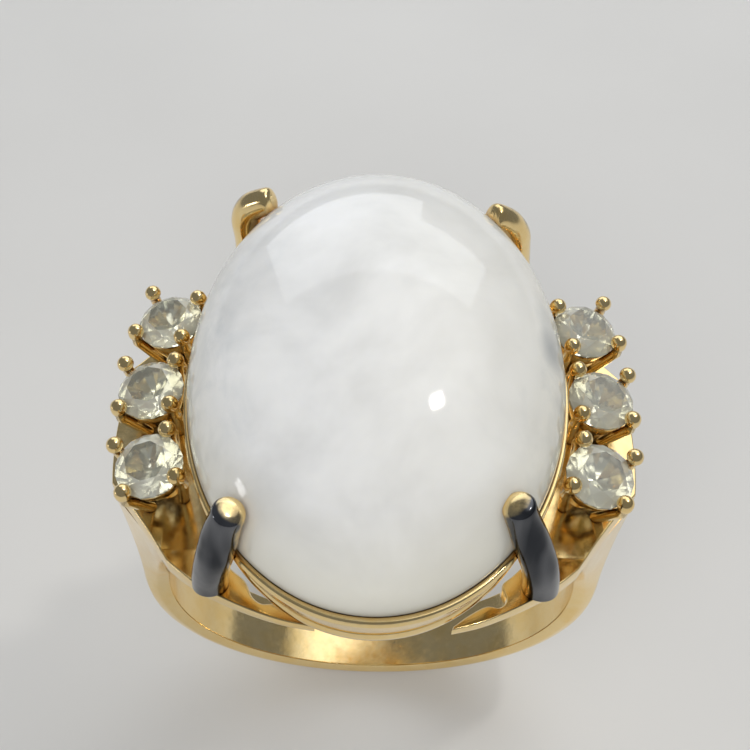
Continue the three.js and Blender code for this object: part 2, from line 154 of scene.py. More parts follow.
# The accent stones and their baskets, whose heights are from the accent girdle
ACCENT_RADIUS = mm(1.2)
ACCENT_HALF_GIRDLE = mm(0.04)
ACCENT_PAVILION = mm(0.95)
ACCENT_CROWN = mm(0.4)
WIRE_RADIUS = mm(0.2)
BEAD_RADIUS = mm(0.3)
BEAD_REACH = mm(1.3)
BEAD_RISE = mm(0.45)
WIRE_REACH = ACCENT_RADIUS + WIRE_RADIUS + SEAM
FOOT_REACH = mm(0.82)
COLLET_TOP = mm(-0.17)
COLLET_WAIST = mm(-0.47)
COLLET_BOTTOM = mm(-0.85)
COLLET_WAIST_BORE = mm(0.72)
COLLET_BOTTOM_BORE = mm(0.62)
SPARE_FOOT = mm(0.5)  # the wires are made this much too long, and trimmed level with the plate
ACCENT_STONE_TURN = math.radians(7)
# All baskets lean outwards. Each row is turned about its own axis and leans to the front as well.
ACCENT_OUTWARD = math.radians(9)
ROW_TURNS = {"front": math.radians(-15), "middle": 0.0, "back": math.radians(13)}
ROW_TILTS = {"front": math.radians(8), "middle": math.radians(4), "back": math.radians(2)}
CORNERS = ("outer_back", "inner_back", "inner_front", "outer_front")

# The light holes under the accent stones, which lean in and draw together towards the finger
AZURE_RADIUS = mm(0.5)
AZURE_LEAN = mm(0.2)
AZURE_GATHER = 0.62
AZURE_BOTTOM = mm(2.5)
AZURE_SPARE = mm(1)

SIDES = {"right": 1, "left": -1}


# ------------------------------------------------------------------ small mathematics


def mix(a, b, share):
    return a + (b - a) * share


def ease(value, low, high):
    share = min(1.0, max(0.0, (value - low) / (high - low)))
    return share * share * (3 - 2 * share)


def angles(count, start=0.0):
    """The angles of a full turn in equal steps."""
    return [start + 2 * math.pi * i / count for i in range(count)]


def catmull(points, steps):
    """Points along a smooth curve through the given ones, in any number of dimensions."""
    pts = [Vector(p) for p in points]
    pts = [2 * pts[0] - pts[1], *pts, 2 * pts[-1] - pts[-2]]
    curve = []
    for p0, p1, p2, p3 in zip(pts, pts[1:], pts[2:], pts[3:]):
        for i in range(steps):
            t = i / steps
            curve.append(
                0.5 * (2 * p1 + (p2 - p0) * t + (2 * p0 - 5 * p1 + 4 * p2 - p3) * t**2
                       + (3 * p1 - p0 - 3 * p2 + p3) * t**3)
            )
    return curve + [pts[-2]]


def bend(start, pull, end, steps):
    """A quadratic curve from start to end, drawn towards pull, without its start."""
    a, p, b = Vector(start), Vector(pull), Vector(end)
    shares = [(i + 1) / steps for i in range(steps)]
    return [(1 - t) ** 2 * a + 2 * t * (1 - t) * p + t * t * b for t in shares]


def rounded(outline, radius, steps=3):
    """A closed outline with each corner turned into a small curve of steps + 1 points."""
    made = []
    count = len(outline)
    for i, corner in enumerate(outline):
        corner = Vector(corner)
        before = Vector(outline[i - 1]) - corner
        after = Vector(outline[(i + 1) % count]) - corner
        start = corner + before.normalized() * min(radius, before.length * 0.4)
        end = corner + after.normalized() * min(radius, after.length * 0.4)
        made.append(start)
        made.extend(bend(start, corner, end, steps))
    return made


# ------------------------------------------------------------------ meshes


def new_object(name, mesh):
    piece = bpy.data.objects.new(name, mesh)
    bpy.context.scene.collection.objects.link(piece)
    return piece


def mesh_of(name, points, faces):
    mesh = bpy.data.meshes.new(name)
    mesh.from_pydata([tuple(p) for p in points], [], faces)
    mesh.validate()
    return mesh


def face_out(mesh):
    made = bmesh.new()
    made.from_mesh(mesh)
    bmesh.ops.recalc_face_normals(made, faces=made.faces)
    made.to_mesh(mesh)
    made.free()


def stacked(name, loops, closed=False):
    """A solid through a row of loops. It is capped at both ends, or closes on itself as a ring."""
    count = len(loops[0])
    points = [p for loop in loops for p in loop]
    faces = []
    rows = len(loops) if closed else len(loops) - 1
    for row in range(rows):
        low = row * count
        high = ((row + 1) % len(loops)) * count
        for i in range(count):
            j = (i + 1) % count
            faces.append((low + i, low + j, high + j, high + i))
    if not closed:
        faces.append(tuple(reversed(range(count))))
        faces.append(tuple(range(len(points) - count, len(points))))
    mesh = mesh_of(name, points, faces)
    face_out(mesh)
    return new_object(name, mesh)


def oval_loop(a, b, z, count):
    return [Vector((a * math.cos(t), b * math.sin(t), z)) for t in angles(count)]


def bake_modifiers(piece):
    bpy.context.view_layer.update()
    graph = bpy.context.evaluated_depsgraph_get()
    mesh = bpy.data.meshes.new_from_object(piece.evaluated_get(graph))
    piece.modifiers.clear()
    piece.data = mesh


def cut_away(piece, cutters):
    for cutter in cutters:
        change = piece.modifiers.new("cut", "BOOLEAN")
        change.operation = "DIFFERENCE"
        change.solver = "EXACT"
        change.object = cutter
    bake_modifiers(piece)


def keep_largest(piece):
    """Drops the loose slivers that a cut can leave behind."""
    made = bmesh.new()
    made.from_mesh(piece.data)
    left = set(made.verts)
    islands = []
    while left:
        front = [left.pop()]
        island = set(front)
        while front:
            for edge in front.pop().link_edges:
                for v in edge.verts:
                    if v in left:
                        left.discard(v)
                        island.add(v)
                        front.append(v)
        islands.append(island)
    biggest = max(islands, key=len)
    bmesh.ops.delete(made, geom=[v for v in made.verts if v not in biggest], context="VERTS")
    made.to_mesh(piece.data)
    made.free()


def trim_below(piece, point, normal):
    """Cuts off what lies under a plane and closes the cut."""
    made = bmesh.new()
    made.from_mesh(piece.data)
    geometry = made.verts[:] + made.edges[:] + made.faces[:]
    cut = bmesh.ops.bisect_plane(made, geom=geometry, dist=1e-8, plane_co=point, plane_no=normal,
                                 clear_inner=True)
    rim = [e for e in cut["geom_cut"] if isinstance(e, bmesh.types.BMEdge)]
    bmesh.ops.holes_fill(made, edges=rim)
    made.to_mesh(piece.data)
    made.free()


def mirror(piece, sx, sy):
    """Turns a piece into its mirror image where sx or sy is -1."""
    piece.data.transform(Matrix.Diagonal((sx, sy, 1, 1)))
    if sx * sy < 0:
        piece.data.flip_normals()


def smooth(piece, degrees=35):
    piece.data.shade_smooth()
    piece.data.set_sharp_from_angle(angle=math.radians(degrees))


def weigh_normals(piece):
    """Keeps broad flat faces flat beside their small rounded edges."""
    smooth(piece)
    change = piece.modifiers.new("weighted", "WEIGHTED_NORMAL")
    change.keep_sharp = True
    change.weight = 100
    bake_modifiers(piece)


def remove(*pieces):
    for piece in pieces:
        bpy.data.objects.remove(piece)


def settle(piece, material, slot, *nodes):
    """The last step of every piece: its material, its body and the CAD nodes that it stands for."""
    piece.data.materials.clear()
    piece.data.materials.append(material)
    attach(piece, "root")
    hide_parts(*nodes)
    return piece


# ------------------------------------------------------------------ materials


class Nodes:
    """A short way to write a material's node tree."""

    def __init__(self, name):
        self.material = bpy.data.materials.new(name)
        self.material.use_nodes = True
        self.tree = self.material.node_tree
        self.tree.nodes.clear()
        self.shader = self.add("ShaderNodeBsdfPrincipled")
        output = self.add("ShaderNodeOutputMaterial")
        self.link(self.shader.outputs["BSDF"], output.inputs["Surface"])
        self.place = self.add("ShaderNodeTexCoord").outputs["Object"]

    def add(self, kind, **settings):
        node = self.tree.nodes.new(kind)
        for key, value in settings.items():
            setattr(node, key, value)
        return node

    def link(self, output, socket):
        self.tree.links.new(output, socket)

    def set(self, **values):
        for key, value in values.items():
            self.shader.inputs[key.replace("_", " ")].default_value = value

    def noise(self, size, detail=3.0, roughness=0.5, distortion=0.0, stretch=None):
        """Fractal noise whose blobs are about size metres across."""
        node = self.add("ShaderNodeTexNoise")
        node.inputs["Scale"].default_value = 1 / size
        node.inputs["Detail"].default_value = detail
        node.inputs["Roughness"].default_value = roughness
        node.inputs["Distortion"].default_value = distortion
        place = self.place
        if stretch:
            mapping = self.add("ShaderNodeMapping")
            mapping.inputs["Scale"].default_value = stretch
            self.link(place, mapping.inputs["Vector"])
            place = mapping.outputs["Vector"]
        self.link(place, node.inputs["Vector"])
        return node.outputs["Fac"]

    def ramp(self, value, stops):
        node = self.add("ShaderNodeValToRGB")
        band = node.color_ramp
        while len(band.elements) < len(stops):
            band.elements.new(0.5)
        for element, (position, colour) in zip(band.elements, stops):
            element.position = position
            element.color = (*colour, 1) if len(colour) == 3 else colour
        self.link(value, node.inputs["Fac"])
        return node.outputs["Color"]

    def grey(self, value, low, high, start=0.0, end=1.0):
        """Maps value from start..end to low..high."""
        node = self.add("ShaderNodeMapRange")
        node.inputs["From Min"].default_value = start
        node.inputs["From Max"].default_value = end
        node.inputs["To Min"].default_value = low
        node.inputs["To Max"].default_value = high
        self.link(value, node.inputs["Value"])
        return node.outputs["Result"]

    def math(self, kind, a, b=0.0):
        node = self.add("ShaderNodeMath", operation=kind)
        for socket, value in zip(node.inputs, (a, b)):
            if isinstance(value, (int, float)):
                socket.default_value = value
            else:
                self.link(value, socket)
        return node.outputs["Value"]

    def distance(self, point):
        """How far a point of the surface is from a point of the ring."""
        node = self.add("ShaderNodeVectorMath", operation="DISTANCE")
        self.link(self.place, node.inputs[0])
        node.inputs[1].default_value = point
        return node.outputs["Value"]

    def blend(self, factor, a, b, kind="MIX"):
        node = self.add("ShaderNodeMix", data_type="RGBA", blend_type=kind)
        sockets = [s for s in node.inputs if s.enabled]
        for socket, value in zip(sockets, (factor, a, b)):
            if isinstance(value, (int, float)):
                socket.default_value = value
            elif isinstance(value, tuple):
                socket.default_value = (*value, 1)
            else:
                self.link(value, socket)
        return [s for s in node.outputs if s.enabled][0]

    def bump(self, *layers):
        """Bump from (height, depth in metres) layers, each on top of the one before."""
        normal = None
        for height, depth in layers:
            node = self.add("ShaderNodeBump")
            node.inputs["Distance"].default_value = depth
            self.link(height, node.inputs["Height"])
            if normal:
                self.link(normal, node.inputs["Normal"])
            normal = node.outputs["Normal"]
        self.link(normal, self.shader.inputs["Normal"])


GOLD = (0.93, 0.67, 0.28)
PALE_GOLD = (0.95, 0.74, 0.38)
# Deep brown for the shade painted into the crevices
CREVICE_SHADE_GOLD = (0.58, 0.31, 0.09)
# The grey metal of worn claws, painted near-black for the dark reflections on their outer faces
DARK_REFLECTION_METAL = (0.04, 0.043, 0.05)
# Lighter bare metal, laid in streaks as painted reflections
BARE_METAL_REFLECTION = (0.20, 0.205, 0.22)
# Brown for the tarnish in the deepest hollows, which also paints shade there
TARNISH_AND_SHADE_BROWN = (0.20, 0.085, 0.02)


def outward_share(n):
    """How much a claw's surface faces away from the stone: 1 outwards, -1 inwards. The front claws,
    which catch on things, count as more worn than the back ones; this also paints their outer faces
    darker than the back claws', as painted shade for the dark reflections they show."""
    way = n.add("ShaderNodeVectorMath", operation="MULTIPLY")
    n.link(n.place, way.inputs[0])
    way.inputs[1].default_value = (1.5, 1, 0)
    unit = n.add("ShaderNodeVectorMath", operation="NORMALIZE")
    n.link(way.outputs["Vector"], unit.inputs[0])
    dot = n.add("ShaderNodeVectorMath", operation="DOT_PRODUCT")
    n.link(unit.outputs["Vector"], dot.inputs[0])
    n.link(n.add("ShaderNodeNewGeometry").outputs["Normal"], dot.inputs[1])
    end = n.add("ShaderNodeSeparateXYZ")
    n.link(n.place, end.inputs["Vector"])
    # The back claws keep more gold; the front ones are painted darker for their dark reflections.
    extra = n.grey(end.outputs["Y"], 0.1, -0.75, mm(-1), mm(1))
    return n.math("ADD", dot.outputs["Value"], extra)


def gold_material(name, worn=False):
    """Polished yellow gold plating: cast waviness, fine scratches, painted shade in the crevices, brown
    tarnish in the deepest of them that paints shade there as well and, on worn pieces, the grey metal
    under the plating where they face outwards, painted near-black for the dark reflections there and
    streaked lighter with painted reflections."""
    n = Nodes(name)
    n.set(Metallic=1.0)
    patches = n.noise(mm(1.6), 4, 0.6)
    colour = n.ramp(patches, [(0.3, GOLD), (0.55, PALE_GOLD), (0.8, GOLD)])
    shade = n.add("ShaderNodeAmbientOcclusion", samples=8)
    shade.inputs["Distance"].default_value = mm(0.5)
    # Painted shade: the gold darkens to a deep brown where the AO finds crevices.
    painted_crevice_shade = n.grey(shade.outputs["AO"], 0.85, 0.0, 0.2, 0.75)
    colour = n.blend(painted_crevice_shade, colour, CREVICE_SHADE_GOLD)
    # Brown tarnish in patches in the deepest hollows, which also paints shade there.
    tarnish_and_shade = n.math("MULTIPLY", n.grey(shade.outputs["AO"], 0.8, 0.0, 0.05, 0.4), n.noise(mm(0.5), 4))
    colour = n.blend(tarnish_and_shade, colour, TARNISH_AND_SHADE_BROWN)
    scratches = n.noise(mm(0.09), 2, 0.6, stretch=(1, 1, 0.12))
    roughness = n.grey(n.noise(mm(0.35), 5, 0.65), 0.10, 0.24, 0.3, 0.7)
    if worn:
        # Where the plating is worn the grey metal shows, painted near-black as painted shade for the
        # dark reflections on these faces.
        ragged = n.math("ADD", outward_share(n), n.grey(n.noise(mm(0.5), 3, 0.6), -0.2, 0.2, 0.25, 0.75))
        worn_and_painted_dark = n.grey(ragged, 0.0, 1.0, -0.2, 0.2)
        # Lighter streaks along the claw: painted reflections on the bare metal.
        painted_reflection_streaks = n.noise(mm(1.1), 2, 0.5, stretch=(1, 1, 0.2))
        metal = n.ramp(painted_reflection_streaks, [(0.4, DARK_REFLECTION_METAL), (0.72, BARE_METAL_REFLECTION)])
        colour = n.blend(worn_and_painted_dark, colour, metal)
    n.link(colour, n.shader.inputs["Base Color"])
    n.link(roughness, n.shader.inputs["Roughness"])
    n.bump((n.noise(mm(0.7), 2, 0.5), mm(0.008)), (scratches, mm(0.001)))
    return n.material


# The centre of the oval stone's smoky spot
INCLUSION = (mm(5.85), mm(-0.4), GIRDLE_Z + mm(2.1))


def milky_material():
    """Translucent milky stone: soft grey clouds, veils at the sides, grey-blue wisps at the left, a
    smoky inclusion at the right edge, a warm cast at the right, and painted shade by the girdle,
    which is warmer and darker."""
    n = Nodes("milky_stone_polished")
    side = n.add("ShaderNodeSeparateXYZ")
    n.link(n.place, side.inputs["Vector"])
    clouds = n.noise(mm(4.2), 4, 0.55, 0.3)
    colour = n.ramp(clouds, [
        (0.34, (0.78, 0.78, 0.77)), (0.5, (0.88, 0.88, 0.87)), (0.66, (0.96, 0.96, 0.94)),
    ])
    warm = n.grey(side.outputs["X"], 0.0, 0.6, -STONE_A * 0.3, STONE_A)
    colour = n.blend(warm, colour, (0.91, 0.88, 0.78))
    edge = n.grey(n.math("ABSOLUTE", side.outputs["X"]), 0.0, 1.0, STONE_A * 0.6, STONE_A)
    veils = n.grey(n.noise(mm(2.2), 4, 0.55, 0.2, stretch=(1.6, 0.8, 0.8)), 0.0, 0.8, 0.5, 0.66)
    colour = n.blend(n.math("MULTIPLY", edge, veils), colour, (0.58, 0.60, 0.60))
    wisps = n.grey(n.noise(mm(1.5), 5, 0.6, 0.5, stretch=(1.2, 0.8, 1)), 0.0, 0.55, 0.48, 0.66)
    left = n.grey(side.outputs["X"], 1.0, 0.0, -STONE_A, -STONE_A * 0.35)
    colour = n.blend(n.math("MULTIPLY", left, wisps), colour, (0.66, 0.69, 0.71))
    smoky = n.grey(n.distance(INCLUSION), 0.8, 0.0, mm(0.2), mm(1.0))
    colour = n.blend(smoky, colour, (0.36, 0.38, 0.40))
    # Painted shade: the colour turns warmer and darker towards the girdle.
    low = n.grey(side.outputs["Z"], 0.7, 0.0, GIRDLE_Z, GIRDLE_Z + mm(2.8))
    colour = n.blend(low, colour, (0.84, 0.80, 0.64))
    n.link(colour, n.shader.inputs["Base Color"])
    n.set(Roughness=0.07, IOR=1.53, Subsurface_Weight=0.75, Subsurface_Scale=mm(1.1))
    n.set(Subsurface_Radius=(1.0, 0.98, 0.92))
    n.bump((n.noise(mm(0.9), 2), mm(0.0015)))
    return n.material


def clear_material():
    """Clear cut crystal with a faint yellow tint, a silvered, foiled back and a scuffed, hazy crown."""
    n = Nodes("clear_crystal_cut")
    haze = n.noise(mm(0.8), 3)
    colour = n.ramp(haze, [(0.3, (0.88, 0.87, 0.74)), (0.7, (0.96, 0.96, 0.89))])
    n.link(colour, n.shader.inputs["Base Color"])
    n.link(n.grey(n.noise(mm(0.3), 3), 0.04, 0.16), n.shader.inputs["Roughness"])
    foil = n.add("ShaderNodeAttribute", attribute_name="foil").outputs["Fac"]
    n.link(foil, n.shader.inputs["Metallic"])
    scuffed = n.add("ShaderNodeAttribute", attribute_name="scuffed").outputs["Fac"]
    n.link(n.grey(scuffed, 0.85, 0.6), n.shader.inputs["Transmission Weight"])
    n.set(IOR=1.6)
    return n.material


def floor_material():
    n = Nodes("studio_floor")
    n.link(n.ramp(n.noise(0.03, 5), [(0.3, (0.70, 0.69, 0.67)), (0.7, (0.74, 0.73, 0.71))]),
           n.shader.inputs["Base Color"])
    n.set(Roughness=0.6)
    return n.material


gold = gold_material("gold_plate_polished")
worn_gold_painted_dark = gold_material("gold_plate_worn_painted_dark", worn=True)
milky = milky_material()
clear = clear_material()


# ------------------------------------------------------------------ the oval stone


def cabochon_loops(clearance=0.0, count=160, steps=56):
    """The oval stone's outlines from its base to just under its top, made larger by clearance."""
    a = STONE_A + clearance
    b = STONE_B + clearance
    loops = []
    for share, rise in STONE_FOOT:
        z = STONE_BASE - clearance + mm(rise)
        loops.append(oval_loop(a * share, b * share, z, count))
    for i in range(steps):
        t = math.pi / 2 * i / steps
        share = math.cos(t) ** (2 / DOME_FULLNESS)
        z = GIRDLE_Z + (DOME_HEIGHT + clearance) * math.sin(t) ** (2 / DOME_FULLNESS)
        loops.append(oval_loop(a * share, b * share, z, count))
    return loops


def make_cabochon():
    stone = stacked("milky_oval_cabochon", cabochon_loops())
    smooth(stone, 60)
    settle(stone, milky, "milky_stone", "oval_cabochon")


# ------------------------------------------------------------------ gallery rails


def oval_ring(name, corners, radius, count=224):
    """A ring round the stone from corners (semi-axis along X, along Y, height), softly rounded."""
    loops = [oval_loop(p.x, p.y, p.z, count) for p in rounded(corners, radius)]
    ring = stacked(name, loops, closed=True)
    weigh_normals(ring)
    return ring


def seat_corners():
    """The seat rail's section: a ledge under the stone and a thin rim that closes on its girdle."""
    rim_top = SEAT_HIGH.z + mm(0.04)
    rim_shoulder = SEAT_HIGH.z - mm(0.12)
    rim_gap = mm(0.004)
    ledge_a = STONE_A - SEAT_LEDGE
    ledge_b = STONE_B - SEAT_LEDGE
    return [
        (SEAT_FOOT_A, SEAT_FOOT_B, SEAT_LOW.z),
        (SEAT_A, SEAT_B, rim_shoulder),
        (SEAT_A - mm(0.05), SEAT_B - mm(0.08), rim_top),
        (STONE_A + rim_gap, STONE_B + rim_gap, rim_top),
        (STONE_A + SEAM, STONE_B + SEAM, SEAT_LEDGE_TOP),
        (ledge_a, ledge_b, SEAT_LEDGE_TOP),
        (ledge_a, ledge_b, SEAT_LOW.z),
    ]


def make_rails():
    seat = oval_ring("bright_seat_rail", seat_corners(), mm(0.05))
    settle(seat, gold, "gold_plate", "seat_rail")
    a, b = WIRE_HIGH.x, WIRE_HIGH.y
    inner_a, inner_b = a - WIRE_RAIL_WIDTH, b - WIRE_RAIL_WIDTH
    corners = [
        (a, b, WIRE_LOW.z), (a, b, WIRE_HIGH.z),
        (inner_a, inner_b, WIRE_HIGH.z), (inner_a, inner_b, WIRE_LOW.z),
    ]
    wire = oval_ring("bright_gallery_wire_rail", corners, mm(0.17))
    settle(wire, gold, "gold_plate", "gallery_wire_rail")


# ------------------------------------------------------------------ shank


def band_shape(angle):
    """The section's sizes below the finger's centre, where angle runs from 0 at the side to 90
    degrees at the palm."""
    share = math.sin(angle) ** 2
    width = mix(SIDE_HALF_WIDTH, PALM_HALF_WIDTH, share)
    return {
        "crown": mix(mm(0.35), mm(0.45), share),
        "outer": width * 0.88,
        "cusp": width,
        "cusp_depth": BAND_THICKNESS * 0.6,
        "scoop": 0.8,
        "depth": BAND_THICKNESS,
        "inner": width * 0.96,
    }


def shoulder_shape(z):
    """The section's sizes at height z above the finger's centre, where the band opens into a scoop."""
    share = z / SHOULDER_TOP
    opening = share**1.7
    outer_x = mix(BAND_RADIUS, SHOULDER_OUTER_X, share)
    inner_x = max(math.sqrt(max(FINGER_RADIUS**2 - z**2, 0)), SHOULDER_INNER_X)
    low = band_shape(0)
    return {
        "outer_x": outer_x,
        "crown": mix(low["crown"], mm(0.13), share),
        "outer": mix(low["outer"], OUTER_CORNER[1], opening),
        "cusp": mix(low["cusp"], CUSP[1] - mm(0.1), opening),
        "cusp_depth": mix(low["cusp_depth"], outer_x - CUSP[0], opening),
        "scoop": mix(low["scoop"], 0.42, opening),
        "depth": outer_x - inner_x,
        "inner": mix(low["inner"], SHOULDER_INNER_Y, opening),
    }


def section(shape):
    """The closed outline of a section, as (depth from the outer face, place along the finger)."""
    half = []
    face_steps = 8
    for i in range(face_steps + 1):
        share = i / face_steps
        half.append(Vector((shape["crown"] * share**2, shape["outer"] * mix(FLAT_STRIP, 1, share))))
    pull = (
        mix(shape["crown"], shape["cusp_depth"], 0.5),
        mix(shape["outer"], shape["cusp"], shape["scoop"]),
    )
    half += bend(half[-1], pull, (shape["cusp_depth"], shape["cusp"]), 10)
    half.append(Vector((shape["depth"], shape["inner"])))
    outline = [Vector((p.x, -p.y)) for p in half] + half[::-1]
    return rounded(outline, mm(0.09), 2)


def shank_loops():
    """The shank's sections, from the left shoulder's top round under the finger to the right's."""
    loops = []
    shoulder_steps, band_steps = 30, 120

    def shoulder(side, z):
        shape = shoulder_shape(z)
        loops.append([Vector((side * (shape["outer_x"] - p.x), p.y, z)) for p in section(shape)])

    for i in range(shoulder_steps, 0, -1):
        shoulder(-1, SHOULDER_TOP * i / shoulder_steps)
    for i in range(band_steps + 1):
        around = math.pi * i / band_steps
        outline = section(band_shape(min(around, math.pi - around)))
        out = Vector((-math.cos(around), 0, -math.sin(around)))
        loops.append([out * (BAND_RADIUS - p.x) + Vector((0, p.y, 0)) for p in outline])
    for i in range(1, shoulder_steps + 1):
        shoulder(1, SHOULDER_TOP * i / shoulder_steps)
    return loops


def axis_of(place):
    return place.to_3x3() @ Vector((0, 0, 1))


def basket_place(side, row):
    """Where an accent basket stands, as a matrix from its own frame, whose Z is its stone's axis."""
    outward = Matrix.Rotation(SIDES[side] * ACCENT_OUTWARD, 4, "Y")
    turn = outward @ Matrix.Rotation(ROW_TILTS[row], 4, "X")
    low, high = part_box(f"{side}_{row}_accent_stone")
    girdle = low.z + (ACCENT_HALF_GIRDLE + ACCENT_PAVILION) * axis_of(turn).z
    centre = Vector(((low.x + high.x) / 2, (low.y + high.y) / 2, girdle))
    return Matrix.Translation(centre) @ turn


def azure_holes(side):
    """Cutters for the light holes under one side's accent stones."""
    holes = []
    for row in ROW_TILTS:
        place = basket_place(side, row)
        centre = place.translation
        top = centre - axis_of(place) * (centre.z - PLATE_TOP)
        bottom = Vector((top.x - SIDES[side] * AZURE_LEAN, top.y * AZURE_GATHER, AZURE_BOTTOM))
        top.z += AZURE_SPARE
        along = top - bottom
        turn = along.to_track_quat("Z", "Y").to_matrix()
        loops = []
        for share in (0, 1):
            middle = bottom + along * share
            loops.append([middle + turn @ p for p in oval_loop(AZURE_RADIUS, AZURE_RADIUS, 0, 48)])
        holes.append(stacked(f"hole_{side}_{row}", loops))
    return holes


def make_shank(holes):
    shank = stacked("cast_shank", shank_loops())
    cut_away(shank, holes)
    keep_largest(shank)
    weigh_normals(shank)
    settle(shank, gold, "gold_plate", "shank")


# ------------------------------------------------------------------ shoulder plates


def plate_outline(arm):
    """One shoulder plate from above, with its scooped edge, cusps, arms and leaf tips."""
    outer_arm = [CUSP] + [(mm(x), mm(y)) for x, y in arm["outer"]] + [(mm(arm["tip_x"]), ARM_TIP_Y)]
    inner_arm = [(mm(x), mm(y)) for x, y in arm["inner"]] + [(SHOULDER_INNER_X, SHOULDER_INNER_Y)]
    edge_x = SHOULDER_OUTER_X + mm(0.02)
    middle = Vector((edge_x, 0))
    half = bend(middle, (edge_x, mm(1.4)), OUTER_CORNER, 10)
    half += bend(OUTER_CORNER, SCALLOP_PULL, CUSP, 18)
    half += catmull(outer_arm, 8)[1:]
    half += catmull(inner_arm, 6)
    return [middle, *half] + [Vector((p.x, -p.y)) for p in reversed(half)]


def arm_share(y):
    return max(0.0, abs(y) - ARM_START_Y) / (ARM_TIP_Y - ARM_START_Y)


def arm_top(y):
    return mix(PLATE_TOP, ARM_TIP_TOP, arm_share(y))


def make_plate(name, arm):
    """A plate as it would stand on the right: an extruded outline whose arms are tipped up and whose
    edges are eased."""
    outline = plate_outline(arm)
    count = len(outline)
    points = [(p.x, p.y, 0) for p in outline] + [(p.x, p.y, 1) for p in outline]
    faces = [tuple(reversed(range(count))), tuple(range(count, 2 * count))]
    faces += [(i, (i + 1) % count, count + (i + 1) % count, count + i) for i in range(count)]
    made = bmesh.new()
    made.from_mesh(mesh_of(name, points, faces))
    for y in (-ARM_START_Y, ARM_START_Y):
        everything = made.verts[:] + made.edges[:] + made.faces[:]
        bmesh.ops.bisect_plane(made, geom=everything, dist=1e-7, plane_co=(0, y, 0), plane_no=(0, 1, 0))
    for v in made.verts:
        thickness = mix(PLATE_THICKNESS, ARM_TIP_THICKNESS, arm_share(v.co.y))
        v.co.z = arm_top(v.co.y) - (0 if v.co.z > 0.5 else thickness)
    bmesh.ops.recalc_face_normals(made, faces=made.faces)
    rim = []
    for edge in made.edges:
        low, high = sorted(face.normal.z for face in edge.link_faces)
        upper_rim = high > 0.8 and low < 0.5
        lower_rim = low < -0.8 and high > -0.5
        on_arm = min(abs(v.co.y) for v in edge.verts) > ARM_START_Y - mm(0.01)
        if upper_rim or (lower_rim and on_arm):
            rim.append(edge)
    bmesh.ops.bevel(made, geom=rim, offset=mm(0.1), segments=4, profile=0.5, affect="EDGES",
                    clamp_overlap=True)
    mesh = bpy.data.meshes.new(name)
    made.to_mesh(mesh)
    made.free()
    return new_object(name, mesh)


def make_plates(holes):
    for side, sign in SIDES.items():
        plate = make_plate(f"cast_{side}_shoulder_plate", ARMS[side])
        mirror(plate, sign, 1)
        cut_away(plate, holes[side])
        weigh_normals(plate)
        settle(plate, gold, "gold_plate", f"{side}_shoulder_plate")


# ------------------------------------------------------------------ the oval stone's claws


def claw_path(way):
    """The claw's centre line, from below its foot to its blunt end over the stone."""
    path = catmull([(mm(x), mm(y), GIRDLE_Z + mm(z)) for z, x, y in way], 9)
    end_steps = 10  # short steps, in which the end can be rounded
    return path[:-3] + [mix(path[-3], path[-1], i / end_steps) for i in range(end_steps + 1)]


def claw_thickness(left):
    """The claw's radius at the distance left to its end, towards which it narrows a little. The end
    is blunt with a rounded edge."""
    end = mm(0.3)
    full = CLAW_RADIUS * mix(0.9, 1.0, ease(left, end, mm(1.6)))
    if left >= end:
        return full
    return full * (1 - (1 - left / end) ** 3) ** (1 / 3)


def make_claw(name, way, cutters):
    """A claw as it would stand at the right back, notched round the seat rail and the stone, with a
    foot cut to the slope of the arm."""
    path = claw_path(way)
    lengths = [0.0]
    for a, b in zip(path, path[1:]):
        lengths.append(lengths[-1] + (b - a).length)
    across = (path[-1] - path[0]).cross(Vector((0, 0, 1))).normalized()
    loops = []
    for i, place in enumerate(path):
        along = path[min(i + 1, len(path) - 1)] - path[max(i - 1, 0)]
        other = along.normalized().cross(across)
        radius = claw_thickness(max(lengths[-1] - lengths[i], mm(0.008)))
        rim = [math.cos(t) * across + math.sin(t) * other for t in angles(40)]
        loops.append([place + radius * p for p in rim])
    claw = stacked(name, loops)
    cut_away(claw, cutters)
    slope = (ARM_TIP_TOP - PLATE_TOP) / (ARM_TIP_Y - ARM_START_Y)
    trim_below(claw, Vector((0, ARM_START_Y, PLATE_TOP + SEAM)), Vector((0, -slope, 1)))
    keep_largest(claw)
    return claw


def make_claws():
    gap = CLAW_NOTCH_GAP
    stone = stacked("stone_cutter", cabochon_loops(gap, 120, 40))
    seat = stacked("seat_cutter", [
        oval_loop(SEAT_FOOT_A + gap, SEAT_FOOT_B + gap, SEAT_LOW.z - SEAM, 160),
        oval_loop(SEAT_A + gap, SEAT_B + gap, SEAT_HIGH.z - mm(0.1), 160),
        oval_loop(SEAT_A, SEAT_B, SEAT_HIGH.z + mm(0.06), 160),
    ])
    for side, sx in SIDES.items():
        for end, sy in (("back", 1), ("front", -1)):
            label = f"{end}_{side}"
            claw = make_claw(f"bright_{label}_claw", CLAW_WAYS[label], (stone, seat))
            mirror(claw, sx, sy)
            smooth(claw, 40)
            settle(claw, worn_gold_painted_dark, "gold_plate", f"{label}_claw")
    remove(stone, seat)


# ------------------------------------------------------------------ accent stones and baskets


